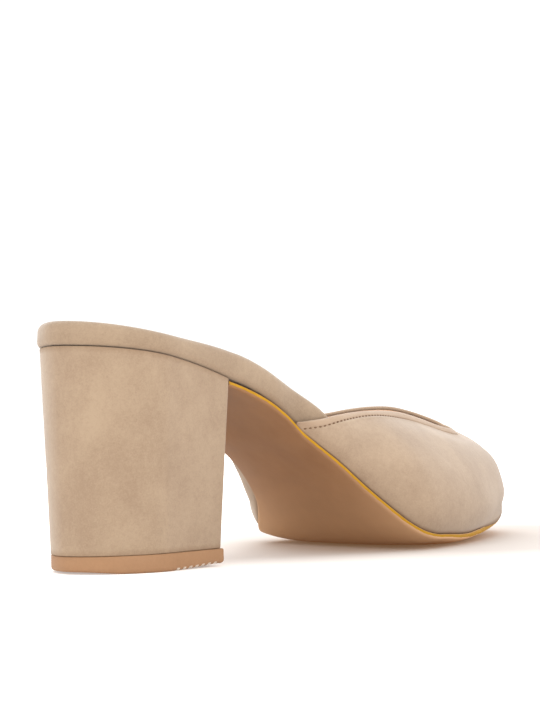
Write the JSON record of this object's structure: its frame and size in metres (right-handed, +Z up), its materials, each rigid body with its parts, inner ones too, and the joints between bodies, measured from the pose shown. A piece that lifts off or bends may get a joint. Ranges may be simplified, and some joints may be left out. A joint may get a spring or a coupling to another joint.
{
  "type": "heeled mule shoe",
  "caption": "Right heeled mule with a hollow suede upper over the toes, a padded wrapped footbed, a thin curved sole and a straight-sided block heel.",
  "frame": {"origin": "middle of the shoe's box, on the floor that it stands on", "axes": "+X to the toe, +Y to the inner (medial) side, +Z up"},
  "size_m": [0.2454, 0.0944, 0.0832],
  "materials": {
    "upper_suede": "napped beige suede, matt",
    "footbed_suede": "napped beige suede wrap, matt",
    "heel_suede": "napped beige suede cover, matt",
    "sole_resin": "brown resin sole with a satin coat",
    "sole_edge": "yellow-brown painted sole edge",
    "rubber": "tan rubber, matt",
    "lining": "smooth tan lining, low sheen",
    "thread": "matt sewing thread"
  },
  "bodies": {
    "root": {"upper": "upper_suede", "footbed": "footbed_suede", "outsole": "sole_resin", "heel": "heel_suede", "top_piece": "rubber"}
  },
  "joints": []
}
